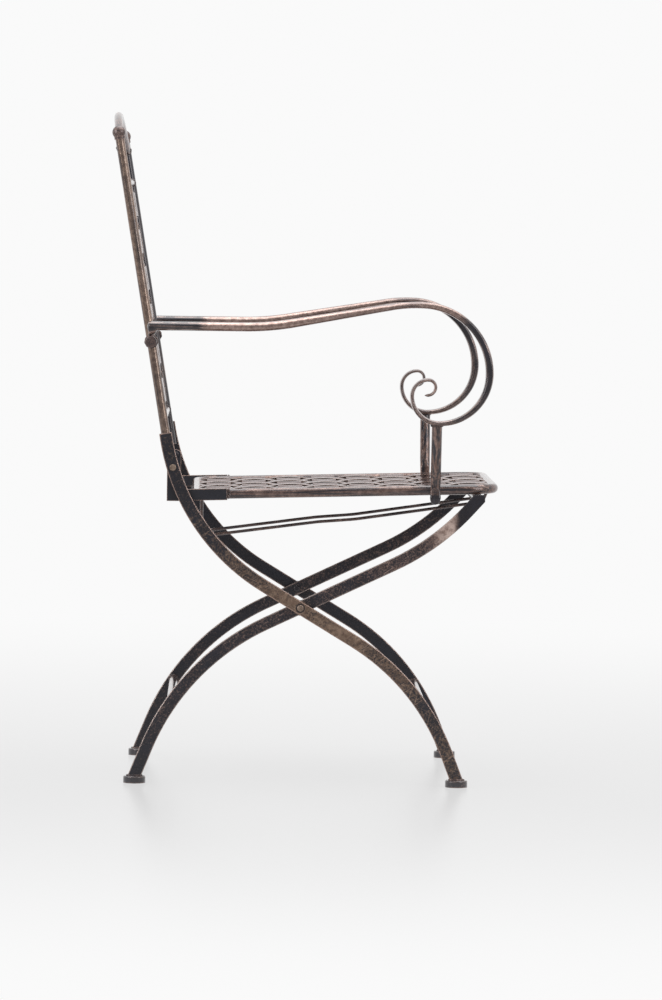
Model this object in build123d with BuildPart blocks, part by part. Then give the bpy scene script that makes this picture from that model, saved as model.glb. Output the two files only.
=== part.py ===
from build123d import *
import os
from math import atan2, cos, degrees, radians, sin, sqrt, tan

# A folding wrought-iron garden armchair, in millimetres. +X is the front, +Y the left side, +Z up.
# The floor is at Z = 0. A point in the side view is a pair (x, z).

# Bars, rods and strips
leg_width = 18  # flat bar of both leg frames, across the bar in the side view
leg_thickness = 6
bracket_width = 16.5
bracket_thickness = 5
upright_diameter = 13
arch_diameter = 12
rail_diameter = 10
rim_diameter = 14
rod_diameter = 4.5
slide_bar_diameter = 14
stretcher_diameter = 12
strip_width = 35
strip_thickness = 2.4

# Clearances
side_clearance = 0.3  # between flat bars that turn past each other
running_clearance = 0.08  # around a rivet, on the radius, in the piece that turns
seat_fit = 0.02  # around a rivet, on the radius, in the piece that carries it
slide_clearance = 0.5  # between the slide bar and the rim above it
rod_clearance = 2.5  # between the slide bar and the guide rods below it
rest_clearance = 0.3  # between an arm's rear end and its peg
weave_gap = 0.1  # between strips that cross
weld_bite = 0.8  # depth to which a rod's end is coped into the bar that it is welded to

# Feet and pivots
frame_width = 430  # outside of the front legs
foot_diameter = 32
foot_height = 10
foot_round = 2
front_foot_x = 224
rear_foot_x = -237
pivot_x = -2.4  # where the two leg frames cross
pivot_z = 254
spacer_thickness = 5.7
spacer_diameter = 22

# Front legs: from the foot of the uprights, down through the pivot, to the front feet
front_leg_slope = 31  # at the pivot, below the horizontal
front_foot_rake = 69
front_leg_upper_bend = 300
front_leg_lower_bend = 324
front_stretcher_z = 112

# Rear legs: from the seat's front, down through the pivot, to the rear feet
rear_leg_slope = 25.5  # at the pivot, above the horizontal
rear_foot_rake = 68
rear_leg_top_slope = 48
rear_leg_upper_bend = 340
rear_leg_lower_bend = 340
rear_leg_tip = 9.5  # in front of the slide bar's centre
rear_stretcher_z = 115

# Back: heights are lengths along the upright from the front leg's upper end
back_lean = 9.5
back_x = -198.1
back_z = 502
upright_lap = 34  # length of upright that is welded inside the front leg's end
back_height = 433  # to the centre of the ball
ball_diameter = 19
collar_diameter = 15.5
collar_height = 3
arch_spring = 408
arch_crown = 460
upper_rail_height = 363
lower_rail_height = 20
back_upright_strips = 6
back_cross_strips = 6

# Seat
seat_rear_x = -154.5  # centre of the rim's rear bar
seat_z = 420.5  # middle of the rim
seat_slope = 1.7
seat_depth = 428  # between the centres of the rear and front bars
rim_front_corner = 42
rim_rear_corner = 36
weave_lift = 3.1  # of the woven strips above the rim's centre
seat_long_strips = 7
seat_cross_strips = 8
seat_pivot_z = 453
bracket_length = 78  # forward of the seat pivot
slide_bar_setback = 23  # from the rim's front bar to the slide bar
rod_spacing = 126
rod_rear_z = 346.5
rod_flat_x = 22  # rear end of the flatter middle run of a guide rod
rod_flat_z = 369.5
rod_flat_length = 56
rod_flat_slope = 4.8
rod_front_run = 12  # straight run of a guide rod in front of the slide bar
rod_corner = 12
rod_flat_bend = 200
rod_front_corner = 8

# Arms
arm_gap = 2  # from the front leg's outside to the arm rail's inside
arm_width = 24
arm_rear_x = -225.5
arm_height = 655  # centre of the rail at the rear
arm_thickness = 13
arm_straight = 138
arm_sweep_radius = 394
arm_ramp_slope = 10
arm_ramp_length = 145.5
arm_crown_radius = 203
arm_crown_thickness = 8.8
arm_crown_fall = 3.2  # slope at the front of the crown
scroll_radii = (97, 71, 39, 23, 10.5, 11.5)  # centreline, one quarter turn after another
scroll_thicknesses = (10, 6.4, 5.4, 4.6, 4.2, 4.2)  # at the end of each of those turns
scroll_last_turn = 120
arm_stations = 8  # points to each turn, at which the arm's edges are set out
arm_round = 1.7  # of the rail's long edges
tab_length = 12
tab_slope = 20  # of the tab's underside, so that it slides backwards off the peg
peg_height = 132  # along the upright
peg_diameter = 16.5
peg_round = 1.5
post_x = 188.5
post_diameter = 15
post_lean_start = 10  # height above the rim at which the round post begins
tongue_width = 14.4
tongue_thickness = 5
tongue_drop = 13  # of the tongue's round end below the rivet

# Rivets
leg_rivet_diameter = 6
leg_head_diameter = 10
seat_rivet_diameter = 6
seat_head_diameter = 10
arm_rivet_diameter = 6
arm_head_diameter = 10
head_height = 2.4
head_round = 2

# Places along the seat
seat_x = seat_rear_x + seat_depth / 2
seat_front_x = seat_rear_x + seat_depth
slide_bar_x = seat_front_x - slide_bar_setback

# Layers across the chair, as distances from the middle plane, from the outside inwards
front_leg_in = frame_width / 2 - leg_thickness
bracket_in = front_leg_in - side_clearance - bracket_thickness
rim_y = bracket_in - rim_diameter / 2
upright_y = front_leg_in - upright_diameter / 2
rear_leg_out = front_leg_in - spacer_thickness - side_clearance
rear_leg_in = rear_leg_out - leg_thickness
slide_bar_end = rear_leg_in - side_clearance
tongue_in = bracket_in + side_clearance
tongue_out = tongue_in + tongue_thickness
arm_in = frame_width / 2 + arm_gap
arm_y = arm_in + arm_width / 2


def meet(p, a, q, b):
    """The point where the line through p at angle a crosses the line through q at angle b."""
    ax, az = cos(radians(a)), sin(radians(a))
    bx, bz = cos(radians(b)), sin(radians(b))
    reach = ((q[0] - p[0]) * bz - (q[1] - p[1]) * bx) / (ax * bz - az * bx)
    return (p[0] + ax * reach, p[1] + az * reach)


def ahead(p, angle, distance):
    """The point at a distance from p along the angle."""
    return (p[0] + distance * cos(radians(angle)), p[1] + distance * sin(radians(angle)))


def bend_centre(p, a, q, b, radius):
    """Centre of the bend between two lines, to the left of both as one looks along their angles."""
    return meet(ahead(p, a + 90, radius), a, ahead(q, b + 90, radius), b)


def rim_height(x):
    """Height of the rim's centre at x along the seat."""
    return seat_z + (x - seat_x) * tan(radians(seat_slope))


def follow(first, run):
    """Carry on from an edge without a kink, by arcs (radius, turn) and straights (length, 0)."""
    edges = [first]
    for size, turn in run:
        end = edges[-1] @ 1
        heading = edges[-1] % 1
        if turn:
            edges.append(JernArc(start=end, tangent=heading, radius=size, arc_size=turn))
        else:
            edges.append(Line(end, end + heading * size))
    return edges


def keep(piece, name):
    """Label a piece and write it."""
    piece.part.label = name
    export_step(piece.part, f"parts/{name}.step")


def keep_pair(right, name):
    """Write the piece of the right side, and its mirror image for the left side."""
    with BuildPart() as left:
        mirror(right.part, about=Plane.XZ)
    keep(right, f"{name}_right")
    keep(left, f"{name}_left")


os.makedirs("parts", exist_ok=True)

# Points of the side view
pivot = (pivot_x, pivot_z)
back_foot = (back_x, back_z)
back_angle = 90 + back_lean
front_foot = (front_foot_x, foot_height)
rear_foot = (rear_foot_x, foot_height)
front_knee = meet(back_foot, back_angle, pivot, -front_leg_slope)
front_ankle = meet(pivot, -front_leg_slope, front_foot, -front_foot_rake)
rear_ankle = meet(pivot, rear_leg_slope, rear_foot, rear_foot_rake)
slide_drop = (rim_diameter / 2 + slide_clearance + slide_bar_diameter / 2) / cos(radians(seat_slope))
slide_bar_z = rim_height(slide_bar_x) - slide_drop
slide_bar_at = (slide_bar_x, slide_bar_z)
rear_knee = meet(pivot, rear_leg_slope, slide_bar_at, rear_leg_top_slope)
knee_bend = bend_centre(
    back_foot, back_angle - 180, pivot, -front_leg_slope, front_leg_upper_bend
)
seat_pivot_x = knee_bend[0] - sqrt(front_leg_upper_bend**2 - (seat_pivot_z - knee_bend[1]) ** 2)
seat_pivot = (seat_pivot_x, seat_pivot_z)
peg_at = ahead(back_foot, back_angle, peg_height)
arm_rivet_at = (post_x, rim_height(post_x))

# Front legs
with BuildPart() as front_leg:
    with BuildSketch(Plane.XZ.offset(front_leg_in)):
        with BuildLine():
            FilletPolyline(
                back_foot, front_knee, front_ankle, ahead(front_foot, -front_foot_rake, foot_height),
                radius=[front_leg_upper_bend, front_leg_lower_bend],
            )
        trace(line_width=leg_width)
        with Locations(pivot):
            Circle(leg_rivet_diameter / 2 + seat_fit, mode=Mode.SUBTRACT)
        with Locations(seat_pivot):
            Circle(seat_rivet_diameter / 2 + seat_fit, mode=Mode.SUBTRACT)
    extrude(amount=leg_thickness)
    split(bisect_by=Plane.XY.offset(foot_height), keep=Keep.TOP)
keep_pair(front_leg, "front_leg")

# Rear legs, cut flush with the top of the slide bar
with BuildPart() as rear_leg:
    with BuildSketch(Plane.XZ.offset(rear_leg_in)):
        with BuildLine():
            FilletPolyline(
                ahead(rear_foot, rear_foot_rake, -foot_height), rear_ankle, rear_knee,
                ahead(slide_bar_at, rear_leg_top_slope, leg_width),
                radius=[rear_leg_lower_bend, rear_leg_upper_bend],
            )
        trace(line_width=leg_width)
        with Locations(pivot):
            Circle(leg_rivet_diameter / 2 + running_clearance, mode=Mode.SUBTRACT)
    extrude(amount=leg_thickness)
    split(bisect_by=Plane.XY.offset(foot_height), keep=Keep.TOP)
    split(bisect_by=Plane.XY.offset(slide_bar_z + slide_bar_diameter / 2), keep=Keep.BOTTOM)
    split(bisect_by=Plane.YZ.offset(slide_bar_x + rear_leg_tip), keep=Keep.BOTTOM)
keep_pair(rear_leg, "rear_leg")

# Foot pads, under the middle of each leg's bar
for name, foot_x, leg_in in (
    ("front_foot", front_foot_x, front_leg_in),
    ("rear_foot", rear_foot_x, rear_leg_in),
):
    with BuildPart() as foot:
        with BuildSketch():
            with Locations((foot_x, -leg_in - leg_thickness / 2)):
                Circle(foot_diameter / 2)
        extrude(amount=foot_height)
        fillet(foot.edges().group_by(Axis.Z)[-1], foot_round)
    keep_pair(foot, name)

# Stretchers, from leg to leg at the middle of the bars' lower bends
front_bend = bend_centre(
    pivot, -front_leg_slope, front_foot, -front_foot_rake, -front_leg_lower_bend
)
rear_bend = bend_centre(pivot, rear_leg_slope, rear_foot, rear_foot_rake, -rear_leg_lower_bend)
front_bow = sqrt(front_leg_lower_bend**2 - (front_stretcher_z - front_bend[1]) ** 2)
rear_bow = sqrt(rear_leg_lower_bend**2 - (rear_stretcher_z - rear_bend[1]) ** 2)
for name, place, reach in (
    ("front_stretcher", (front_bend[0] + front_bow, front_stretcher_z), front_leg_in),
    ("rear_stretcher", (rear_bend[0] - rear_bow, rear_stretcher_z), rear_leg_in),
):
    with BuildPart() as stretcher:
        with BuildSketch(Plane.XZ):
            with Locations(place):
                Circle(stretcher_diameter / 2)
        extrude(amount=reach, both=True)
    keep(stretcher, name)

# Uprights, lapped inside the front legs
up = (-sin(radians(back_lean)), 0, cos(radians(back_lean)))
forward = (up[2], 0, -up[0])
ball_flat = sqrt(ball_diameter**2 - upright_diameter**2) / 2
upright_plane = Plane(origin=(back_x, -upright_y, back_z), x_dir=(0, 1, 0), z_dir=up)
with BuildPart() as upright:
    with BuildSketch(upright_plane.offset(-upright_lap)):
        Circle(upright_diameter / 2)
    extrude(amount=upright_lap + back_height - ball_flat)
keep_pair(upright, "upright")

# Ball finials, each with a collar around the upright's end
ball_radius = ball_diameter / 2
bore_radius = upright_diameter / 2 + seat_fit
collar_radius = collar_diameter / 2
collar_top = back_height - sqrt(ball_radius**2 - collar_radius**2)
upright_top = back_height - ball_flat
with BuildPart() as finial:
    with BuildSketch(Plane(origin=upright_plane.origin, x_dir=(0, 1, 0), z_dir=forward)):
        with BuildLine():
            Polyline(
                (0, back_height + ball_radius), (0, upright_top), (bore_radius, upright_top),
                (bore_radius, upright_top - collar_height), (collar_radius, upright_top - collar_height),
                (collar_radius, collar_top),
            )
            ThreePointArc(
                (collar_radius, collar_top), (ball_radius, back_height), (0, back_height + ball_radius)
            )
        make_face()
    revolve(axis=Axis(origin=upright_plane.origin, direction=up))
keep_pair(finial, "finial")

# Arched top rail and the two rails of the back, coped to the uprights
back_plane = Plane(origin=(back_x, 0, back_z), x_dir=(0, 1, 0), z_dir=forward)
with BuildPart() as top_arch:
    with BuildLine(back_plane) as arch_line:
        ThreePointArc((-upright_y, arch_spring), (0, arch_crown), (upright_y, arch_spring))
    with BuildSketch(Plane(origin=arch_line.line @ 0, z_dir=arch_line.line % 0)):
        Circle(arch_diameter / 2)
    sweep()
    add(upright.part, mode=Mode.SUBTRACT)
    mirror(upright.part, about=Plane.XZ, mode=Mode.SUBTRACT)
keep(top_arch, "top_arch")

back_rails = []
for name, height in (("back_upper_rail", upper_rail_height), ("back_lower_rail", lower_rail_height)):
    with BuildPart() as rail:
        with BuildSketch(Plane.XZ):
            with Locations(ahead(back_foot, back_angle, height)):
                Circle(rail_diameter / 2)
        extrude(amount=upright_y, both=True)
        add(upright.part, mode=Mode.SUBTRACT)
        mirror(upright.part, about=Plane.XZ, mode=Mode.SUBTRACT)
    keep(rail, name)
    back_rails.append(rail)


def strip(run_plane, clear, crossings, first_side, height, lead):
    """A flat strip that waves over and under its crossings, drawn from the side.

    Each crossing is the top or the bottom of one arc, and the arcs meet half-way between crossings.
    """
    pitch = clear / crossings
    half_turn = 2 * atan2(2 * height, pitch)
    radius = pitch / 2 / sin(half_turn)
    rise = first_side * degrees(half_turn)
    turns = [(radius, -2 * rise if k % 2 == 0 else 2 * rise) for k in range(crossings)]
    with BuildPart() as piece:
        with BuildSketch(run_plane):
            with BuildLine():
                start = ahead((-clear / 2, 0), rise, -lead)
                follow(Line(start, (-clear / 2, 0)), turns + [(lead, 0)])
            trace(line_width=strip_thickness)
        extrude(amount=strip_width / 2, both=True)
    return piece


def weave_height(pitch_a, pitch_b):
    """Height of a strip's waves that keeps crossing strips apart over the whole width of the crossing."""
    crowding = strip_width**2 * (1 / pitch_a**2 + 1 / pitch_b**2)
    return (strip_thickness + weave_gap) / (2 - crowding)


def woven(panel, length, width, along, across, lead):
    """The strips of a woven panel: first those along its x axis, then those along its y axis."""
    height = weave_height(length / across, width / along)
    strips_along = []
    strips_across = []
    for i in range(along):
        place = panel.origin + panel.y_dir * ((i + 0.5) / along - 0.5) * width
        run_plane = Plane(origin=place, x_dir=panel.x_dir, z_dir=-panel.y_dir)
        strips_along.append(strip(run_plane, length, across, 1 if i % 2 == 0 else -1, height, lead))
    for j in range(across):
        place = panel.origin + panel.x_dir * ((j + 0.5) / across - 0.5) * length
        run_plane = Plane(origin=place, x_dir=panel.y_dir, z_dir=panel.x_dir)
        strips_across.append(strip(run_plane, width, along, -1 if j % 2 == 0 else 1, height, lead))
    return strips_along, strips_across


# Woven back, between the uprights and the two rails
panel_height = (upper_rail_height + lower_rail_height) / 2
panel_at = ahead(back_foot, back_angle, panel_height)
back_panel = Plane(origin=(panel_at[0], 0, panel_at[1]), x_dir=up, z_dir=forward)
upright_strips, cross_strips = woven(
    back_panel,
    upper_rail_height - lower_rail_height - rail_diameter,
    2 * upright_y - upright_diameter,
    back_upright_strips,
    back_cross_strips,
    rail_diameter / 2,
)
for k, piece in enumerate(upright_strips, 1):
    with BuildPart() as coped:
        add(piece.part)
        for rail in back_rails:
            add(rail.part, mode=Mode.SUBTRACT)
    keep(coped, f"back_strip_upright_{k}")
for k, piece in enumerate(cross_strips, 1):
    with BuildPart() as coped:
        add(piece.part)
        add(upright.part, mode=Mode.SUBTRACT)
        mirror(upright.part, about=Plane.XZ, mode=Mode.SUBTRACT)
    keep(coped, f"back_strip_cross_{k}")

# Seat rim, with holes for the arm rivets
slope = radians(seat_slope)
seat_normal = (-sin(slope), 0, cos(slope))
seat_plane = Plane(origin=(seat_x, 0, seat_z), x_dir=(cos(slope), 0, sin(slope)), z_dir=seat_normal)
with BuildPart() as seat_rim:
    with BuildLine(seat_plane) as rim_line:
        FilletPolyline(
            (-seat_depth / 2, 0), (-seat_depth / 2, -rim_y), (seat_depth / 2, -rim_y), (seat_depth / 2, 0),
            radius=[rim_rear_corner, rim_front_corner],
        )
    with BuildSketch(Plane(origin=rim_line.line @ 0, z_dir=rim_line.line % 0)):
        Circle(rim_diameter / 2)
    sweep()
    with BuildSketch(Plane.XZ.offset(rim_y)):
        with Locations(arm_rivet_at):
            Circle(arm_rivet_diameter / 2 + seat_fit)
    extrude(amount=rim_diameter, mode=Mode.SUBTRACT)
    mirror(about=Plane.XZ)
keep(seat_rim, "seat_rim")

# Woven seat, cut to the rim's outline and coped to the rim
seat_long, seat_cross = woven(
    seat_plane.offset(weave_lift),
    seat_depth - rim_diameter,
    2 * rim_y - rim_diameter,
    seat_long_strips,
    seat_cross_strips,
    rim_diameter / 2,
)
for name, strips in (("seat_strip_long", seat_long), ("seat_strip_cross", seat_cross)):
    for k, piece in enumerate(strips, 1):
        with BuildPart() as coped:
            add(piece.part)
            with BuildSketch(seat_plane):
                with BuildLine():
                    FilletPolyline(
                        (-seat_depth / 2, -rim_y), (seat_depth / 2, -rim_y),
                        (seat_depth / 2, rim_y), (-seat_depth / 2, rim_y),
                        radius=[rim_rear_corner, rim_front_corner, rim_front_corner, rim_rear_corner],
                        close=True,
                    )
                make_face()
            extrude(amount=rim_diameter, both=True, mode=Mode.INTERSECT)
            add(seat_rim.part, mode=Mode.SUBTRACT)
        keep(coped, f"{name}_{k}")

# Seat brackets: a hanger from the seat pivot and an arm along the outside of the rim
bracket_front = seat_pivot_x + bracket_length
bracket_foot = rim_height(seat_pivot_x) - bracket_width / 2
with BuildPart() as seat_bracket:
    with BuildSketch(Plane.XZ.offset(bracket_in)):
        with BuildLine():
            Line(seat_pivot, (seat_pivot_x, bracket_foot))
            Line((seat_pivot_x, rim_height(seat_pivot_x)), (bracket_front, rim_height(bracket_front)))
        trace(line_width=bracket_width)
        with Locations(seat_pivot):
            Circle(bracket_width / 2)
            Circle(seat_rivet_diameter / 2 + running_clearance, mode=Mode.SUBTRACT)
    extrude(amount=bracket_thickness)
keep_pair(seat_bracket, "seat_bracket")

# Slide bar at the top of the rear legs
with BuildPart() as slide_bar:
    with BuildSketch(Plane.XZ):
        with Locations(slide_bar_at):
            Circle(slide_bar_diameter / 2)
    extrude(amount=slide_bar_end, both=True)
keep(slide_bar, "slide_bar")

# Guide rods under the seat, coped to the rim's rear and front bars
rod_drop = (slide_bar_diameter + rod_diameter) / 2 + rod_clearance
rod_leg_x = seat_rear_x + (rim_diameter + rod_diameter) / 2 - weld_bite
rod_flat_end = ahead((rod_flat_x, rod_flat_z), rod_flat_slope, rod_flat_length)
rod_slope = (slide_bar_z - rod_drop - rod_flat_end[1]) / (slide_bar_x - rod_flat_end[0])
rod_turn_x = slide_bar_x + rod_front_run
with BuildPart() as guide_rod:
    with BuildLine(Plane.XZ.offset(rod_spacing / 2)) as rod_line:
        FilletPolyline(
            (rod_leg_x, rim_height(rod_leg_x)),
            (rod_leg_x, rod_rear_z),
            (rod_flat_x, rod_flat_z),
            rod_flat_end,
            (rod_turn_x, rod_flat_end[1] + rod_slope * (rod_turn_x - rod_flat_end[0])),
            (seat_front_x, rim_height(seat_front_x)),
            radius=[rod_corner, rod_flat_bend, rod_flat_bend, rod_front_corner],
        )
    with BuildSketch(Plane(origin=rod_line.line @ 0, z_dir=rod_line.line % 0)):
        Circle(rod_diameter / 2)
    sweep()
    add(seat_rim.part, mode=Mode.SUBTRACT)
keep_pair(guide_rod, "guide_rod")

# Arm rails: a centreline without a kink from the rear to the tip of the scroll, and a thickness along it
arm_top = arm_height + arm_thickness / 2
arm_under = arm_height - arm_thickness / 2
tab_reach = peg_diameter / 2 + rest_clearance
tab_line = ahead(peg_at, 90 + tab_slope, tab_reach)
tab_rear = meet(tab_line, tab_slope, (arm_rear_x, arm_height), 90)
tab_front = meet(tab_line, tab_slope, (arm_rear_x + tab_length, arm_height), 90)
arm_runs = [
    (arm_sweep_radius, arm_ramp_slope),
    (arm_ramp_length, 0),
    (arm_crown_radius, -arm_ramp_slope - arm_crown_fall),
    (scroll_radii[0], arm_crown_fall - 90),
]
arm_runs += [(radius, -90) for radius in scroll_radii[1:-1]] + [(scroll_radii[-1], -scroll_last_turn)]
arm_thicknesses = (arm_thickness,) * 2 + (arm_crown_thickness,) * 2 + scroll_thicknesses
with BuildPart() as arm_rail:
    with BuildSketch(Plane.XZ.offset(arm_in)):
        with BuildLine(mode=Mode.PRIVATE):
            straight = Line((arm_rear_x, arm_height), (arm_rear_x + arm_straight, arm_height))
            arm_edges = follow(straight, arm_runs)[1:]
        outer = [(arm_rear_x + arm_straight, arm_top)]
        inner = [(arm_rear_x + arm_straight, arm_under)]
        for edge, thick_start, thick_end in zip(arm_edges, arm_thicknesses, arm_thicknesses[1:]):
            for k in range(1, arm_stations + 1):
                half = (thick_start + (thick_end - thick_start) * k / arm_stations) / 2
                place = edge @ (k / arm_stations)
                heading = edge % (k / arm_stations)
                outer.append((place.X - heading.Y * half, place.Y + heading.X * half))
                inner.append((place.X + heading.Y * half, place.Y - heading.X * half))
        with BuildLine():
            Spline(*outer, tangents=[(1, 0), arm_edges[-1] % 1])
            Spline(*inner, tangents=[(1, 0), arm_edges[-1] % 1])
            Line(outer[-1], inner[-1])
            Polyline(
                outer[0], (arm_rear_x, arm_top), tab_rear, tab_front,
                (arm_rear_x + tab_length, arm_under), inner[0],
            )
        make_face()
    extrude(amount=arm_width)
    fillet(arm_rail.faces().filter_by(Axis.Y).edges(), arm_round)
keep_pair(arm_rail, "arm_rail")

# Arm posts: a flat tongue outside the rim, and a round post that leans out to the scroll's underside
scroll_foot = arm_edges[4] @ 1
post_start_y = tongue_in + post_diameter / 2 + side_clearance
post_start_z = arm_rivet_at[1] + rim_diameter / 2 + post_lean_start
post_start = Vector(post_x, -post_start_y, post_start_z)
post_end = Vector(post_x, -arm_y, scroll_foot.Y)
with BuildPart() as arm_post:
    with BuildSketch(Plane.XZ.offset(tongue_in)):
        with BuildLine():
            Line((post_x, arm_rivet_at[1] - tongue_drop), (post_x, post_start_z + post_diameter / 2))
        trace(line_width=tongue_width)
        with Locations((post_x, arm_rivet_at[1] - tongue_drop)):
            Circle(tongue_width / 2)
        with Locations(arm_rivet_at):
            Circle(arm_rivet_diameter / 2 + running_clearance, mode=Mode.SUBTRACT)
    extrude(amount=tongue_thickness)
    with BuildSketch(Plane(origin=post_start, z_dir=post_end - post_start)):
        Circle(post_diameter / 2)
    extrude(amount=(post_end - post_start).length + post_diameter)
    split(bisect_by=Plane.XY.offset(scroll_foot.Y), keep=Keep.BOTTOM)
    add(arm_rail.part, mode=Mode.SUBTRACT)
keep_pair(arm_post, "arm_post")

# Arm pegs on the outside of the uprights
with BuildPart() as arm_pegs:
    with BuildSketch(Plane.XZ.offset(upright_y)):
        with Locations(peg_at):
            Circle(peg_diameter / 2)
    extrude(amount=arm_in + arm_width - upright_y)
    fillet(arm_pegs.edges().group_by(Axis.Y)[0], peg_round)
    add(upright.part, mode=Mode.SUBTRACT)
    mirror(about=Plane.XZ)
keep(arm_pegs, "arm_pegs")

# Spacers between the leg frames
with BuildPart() as leg_pivot_spacers:
    with BuildSketch(Plane.XZ.offset(front_leg_in - spacer_thickness)):
        with Locations(pivot):
            Circle(spacer_diameter / 2)
            Circle(leg_rivet_diameter / 2 + seat_fit, mode=Mode.SUBTRACT)
    extrude(amount=spacer_thickness)
    mirror(about=Plane.XZ)
keep(leg_pivot_spacers, "leg_pivot_spacers")

# Rivets: a shank between two layers, with a round head at each end that has one
for name, place, shank, head, inside, outside, inner_head in (
    ("leg_pivot_rivets", pivot, leg_rivet_diameter, leg_head_diameter,
     rear_leg_in - side_clearance, frame_width / 2, True),
    ("seat_pivot_rivets", seat_pivot, seat_rivet_diameter, seat_head_diameter,
     bracket_in - side_clearance, frame_width / 2, True),
    ("arm_rivets", arm_rivet_at, arm_rivet_diameter, arm_head_diameter,
     rim_y, tongue_out + side_clearance, False),
):
    with BuildPart() as rivets:
        with BuildSketch(Plane.XZ.offset(inside)):
            with Locations(place):
                Circle(shank / 2)
        extrude(amount=outside - inside)
        with BuildSketch(Plane.XZ.offset(outside)):
            with Locations(place):
                Circle(head / 2)
        extrude(amount=head_height)
        fillet(rivets.edges().group_by(Axis.Y)[0], head_round)
        if inner_head:
            with BuildSketch(Plane.XZ.offset(inside - head_height)):
                with Locations(place):
                    Circle(head / 2)
            extrude(amount=head_height)
            fillet(rivets.edges().group_by(Axis.Y)[-1], head_round)
        mirror(about=Plane.XZ)
    keep(rivets, name)
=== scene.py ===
import math

import bpy
import numpy as np
from mathutils import Matrix, Vector


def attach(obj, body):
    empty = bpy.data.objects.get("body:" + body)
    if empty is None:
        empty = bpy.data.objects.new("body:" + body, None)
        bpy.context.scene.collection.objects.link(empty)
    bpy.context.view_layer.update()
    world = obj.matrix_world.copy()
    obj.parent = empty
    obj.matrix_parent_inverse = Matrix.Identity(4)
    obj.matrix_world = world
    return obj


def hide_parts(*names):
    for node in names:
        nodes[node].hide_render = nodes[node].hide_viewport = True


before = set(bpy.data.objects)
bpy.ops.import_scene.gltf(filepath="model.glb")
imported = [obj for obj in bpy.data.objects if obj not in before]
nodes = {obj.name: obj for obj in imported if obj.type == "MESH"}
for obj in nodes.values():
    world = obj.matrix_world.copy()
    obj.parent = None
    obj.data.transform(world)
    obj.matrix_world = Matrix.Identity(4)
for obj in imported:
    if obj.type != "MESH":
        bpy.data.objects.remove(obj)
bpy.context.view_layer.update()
print("frame loaded,", len(nodes), "nodes")


def putNode(tree, kind, inputs=None, **settings):  # one shader node with its settings and sockets
    node = tree.nodes.new(kind)
    for name, value in settings.items():
        setattr(node, name, value)
    for name, value in (inputs or {}).items():
        if isinstance(value, bpy.types.NodeSocket):
            tree.links.new(value, node.inputs[name])
        else:
            node.inputs[name].default_value = value
    return node


def blendTwo(tree, share, first, second):  # two colours mixed by a share; sockets 6, 7 and 2 are the colours
    node = putNode(tree, "ShaderNodeMix", {0: share, 6: first, 7: second}, data_type="RGBA", blend_type="MIX")
    return node.outputs[2]


def reckon(tree, operation, first, second=0.0, clamp=False):  # one sum on values
    node = putNode(tree, "ShaderNodeMath", {0: first, 1: second}, operation=operation, use_clamp=clamp)
    return node.outputs[0]


def spread(tree, value, low, high, lowest=0.0, highest=1.0):  # low..high to lowest..highest, with soft ends
    node = putNode(
        tree, "ShaderNodeMapRange",
        {"Value": value, "From Min": low, "From Max": high, "To Min": lowest, "To Max": highest},
        interpolation_type="SMOOTHSTEP",
    )
    return node.outputs["Result"]


def noiseAt(tree, place, scale, detail, rough, skew=0.0):
    node = putNode(
        tree, "ShaderNodeTexNoise",
        {"Vector": place, "Scale": scale, "Detail": detail, "Roughness": rough, "Distortion": skew},
    )
    return node.outputs["Fac"]


def axesOf(tree, place):  # the X, Y and Z of a place
    return putNode(tree, "ShaderNodeSeparateXYZ", {0: place}).outputs


def alongBar(tree, place, turn, length, width):  # place in a turned frame, where noise is drawn out along x
    turned = tuple(math.radians(angle) for angle in turn)
    node = putNode(
        tree, "ShaderNodeMapping",
        {"Vector": place, "Rotation": turned, "Scale": (length, width, width)},
        vector_type="TEXTURE",
    )
    return node.outputs["Vector"]


def swing(tree, value, reach):  # a noise value turned into a swing of about -reach..reach
    return reckon(tree, "MULTIPLY", reckon(tree, "SUBTRACT", value, 0.5), 2.0 * reach)


def startGroup(name, sockets):
    tree = bpy.data.node_groups.new(name, "ShaderNodeTree")
    for label, way, kind, value in sockets:
        socket = tree.interface.new_socket(name=label, in_out=way, socket_type=kind)
        if value is not None:
            socket.default_value = value
    return tree, tree.nodes.new("NodeGroupInput"), tree.nodes.new("NodeGroupOutput")


def emptyTree(owner):  # the node tree of a new material or world
    owner.use_nodes = True
    owner.node_tree.nodes.clear()
    return owner.node_tree


rubWork = {  # likeness of the two normals on a flat and at an edge; noise as (scale, detail, roughness)
    "samples": 6, "likeness": (0.998, 0.93), "chips": (130.0, 5.0, 0.65), "chipRange": (0.36, 0.62),
}


def makeEdgeRub():  # mask of worn edges: where the rounded normal parts from the flat one, broken up by noise
    tree, given, taken = startGroup("edgeRub", [
        ("Place", "INPUT", "NodeSocketVector", None),
        ("Width", "INPUT", "NodeSocketFloat", 0.0016),
        ("Break Up", "INPUT", "NodeSocketFloat", 0.5),
        ("Mask", "OUTPUT", "NodeSocketFloat", None),
        ("Rounded", "OUTPUT", "NodeSocketVector", None),
    ])
    rounded = putNode(tree, "ShaderNodeBevel", {"Radius": given.outputs["Width"]}, samples=rubWork["samples"])
    flat = tree.nodes.new("ShaderNodeNewGeometry")
    normals = {0: rounded.outputs["Normal"], 1: flat.outputs["Normal"]}
    likeness = putNode(tree, "ShaderNodeVectorMath", normals, operation="DOT_PRODUCT").outputs["Value"]
    edge = spread(tree, likeness, *rubWork["likeness"])
    chips = spread(tree, noiseAt(tree, given.outputs["Place"], *rubWork["chips"]), *rubWork["chipRange"])
    whole = reckon(tree, "SUBTRACT", 1.0, given.outputs["Break Up"])
    kept = reckon(tree, "ADD", whole, reckon(tree, "MULTIPLY", chips, given.outputs["Break Up"]))
    tree.links.new(reckon(tree, "MULTIPLY", edge, kept, True), taken.inputs["Mask"])
    tree.links.new(rounded.outputs["Normal"], taken.inputs["Rounded"])
    return tree


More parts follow.
